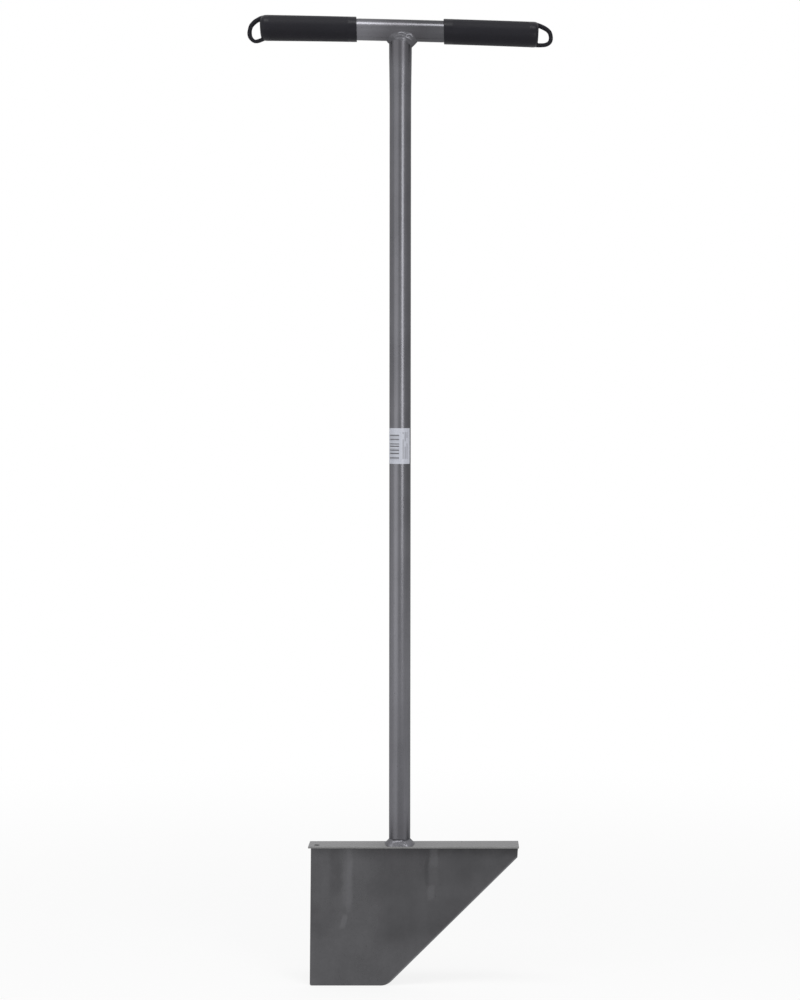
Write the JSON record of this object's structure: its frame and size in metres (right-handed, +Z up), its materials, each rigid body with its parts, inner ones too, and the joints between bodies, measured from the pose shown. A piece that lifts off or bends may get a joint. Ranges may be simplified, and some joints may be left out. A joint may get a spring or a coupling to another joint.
{
  "type": "lawn edger",
  "caption": "Long-handled lawn edger: flat angled steel blade under a narrow tread plate, welded to a tube shaft with a cross handle and push-on grips with hanging eyes.",
  "frame": {"origin": "on the shaft axis, level with the bottom edge of the blade", "axes": "+X to the right along the tread, towards the slanted side of the blade; +Y to the back; +Z up the shaft"},
  "size_m": [0.3157, 0.032, 1.0132],
  "materials": {
    "lacquered_steel": "bare mild steel under clear lacquer, satin",
    "weld_steel": "rippled weld bead under clear lacquer",
    "grip_rubber": "soft black plastic, matte with smooth end bands",
    "label_paper": "pale coated paper sticker"
  },
  "bodies": {
    "root": {"shaft_tube": "lacquered_steel", "cross_tube": "lacquered_steel", "left_grip": "grip_rubber", "right_grip": "grip_rubber", "tread_plate": "lacquered_steel", "blade": "lacquered_steel", "tee_weld": "weld_steel", "foot_weld": "weld_steel", "stitch_welds": "weld_steel", "label": "label_paper"}
  },
  "joints": []
}
